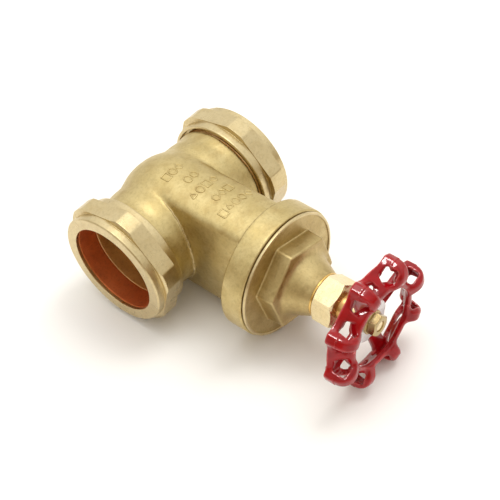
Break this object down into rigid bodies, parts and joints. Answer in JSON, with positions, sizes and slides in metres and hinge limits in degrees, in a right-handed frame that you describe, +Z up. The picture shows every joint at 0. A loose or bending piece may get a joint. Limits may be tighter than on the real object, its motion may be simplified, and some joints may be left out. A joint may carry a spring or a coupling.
{
  "type": "gate valve",
  "caption": "Brass gate valve with compression ends for copper pipe, a screwed bonnet, a non-rising stem with a wedge gate, and a red cast handwheel.",
  "frame": {"origin": "where the flow axis crosses the stem axis, in the middle of the waterway", "axes": "+X along the flow axis towards the right-hand end, -Y along the stem axis towards the handwheel, +Z up, as the valve lies on its side"},
  "size_m": [0.1099, 0.1826, 0.0748],
  "materials": {
    "cast_brass": "sand-cast, lightly blasted satin brass",
    "nut_brass": "machined satin brass",
    "bright_brass": "polished brass",
    "stem_brass": "turned brass",
    "gate_brass": "cast brass with machined faces",
    "follower_brass": "turned brass with a coppery tone",
    "olive_copper": "soft copper, darkened",
    "fibre_gasket": "pressed fibre",
    "gland_packing": "graphited braid",
    "washer_steel": "stainless steel",
    "disc_aluminium": "bright pressed sheet",
    "red_enamel": "glossy red enamel on a casting"
  },
  "bodies": {
    "valve_body": {"body": "cast_brass", "bonnet": "cast_brass", "bonnet_gasket": "fibre_gasket", "stem_retaining_nut": "stem_brass", "thrust_washer": "washer_steel", "packing_washer": "washer_steel", "packing_ring_lower": "gland_packing", "packing_ring_middle": "gland_packing", "packing_ring_upper": "gland_packing"},
    "spindle": {"stem": "stem_brass", "handwheel": "red_enamel", "identification_disc": "disc_aluminium", "wheel_washer": "bright_brass", "wheel_nut": "bright_brass"},
    "gate": {"wedge_gate": "gate_brass"},
    "left_olive": {"olive_left": "olive_copper"},
    "left_nut": {"compression_nut_left": "nut_brass"},
    "right_olive": {"olive_right": "olive_copper"},
    "right_nut": {"compression_nut_right": "nut_brass"},
    "gland_sleeve": {"gland_follower": "follower_brass"},
    "gland_cap": {"gland_nut": "bright_brass"}
  },
  "joints": [
    {"name": "stem_turn", "type": "hinge", "parent": "valve_body", "child": "spindle", "pos_m": [0, -0.1, 0], "axis": [0, 1, 0], "range_deg": [0, 4800]},
    {"name": "gate_lift", "type": "slide", "parent": "valve_body", "child": "gate", "axis": [0, 1, 0], "range_m": [0, 0.048]},
    {"name": "left_olive_slide", "type": "slide", "parent": "valve_body", "child": "left_olive", "axis": [-1, 0, 0], "range_m": [0, 0.0052]},
    {"name": "left_nut_turn", "type": "hinge", "parent": "left_olive", "child": "left_nut", "pos_m": [-0.044, 0, 0], "axis": [-1, 0, 0], "range_deg": [0, 810]},
    {"name": "right_olive_slide", "type": "slide", "parent": "valve_body", "child": "right_olive", "axis": [1, 0, 0], "range_m": [-0.00255, 0.0029]},
    {"name": "right_nut_turn", "type": "hinge", "parent": "right_olive", "child": "right_nut", "pos_m": [0.046, 0, 0], "axis": [1, 0, 0], "range_deg": [-397, 450]},
    {"name": "gland_sleeve_slide", "type": "slide", "parent": "valve_body", "child": "gland_sleeve", "axis": [0, -1, 0], "range_m": [0, 0.00562]},
    {"name": "gland_nut_turn", "type": "hinge", "parent": "gland_sleeve", "child": "gland_cap", "pos_m": [0, -0.11, 0], "axis": [0, -1, 0], "range_deg": [0, 1351]}
  ],
  "couplings": [
    {"joint": "gate_lift", "follows": "stem_turn", "m_per_rad": 0.00057296},
    {"joint": "left_olive_slide", "follows": "left_nut_turn", "m_per_rad": 0.00036749},
    {"joint": "right_olive_slide", "follows": "right_nut_turn", "m_per_rad": 0.00036749},
    {"joint": "gland_nut_turn", "follows": "gland_sleeve_slide", "rad_per_m": 4188.8}
  ]
}
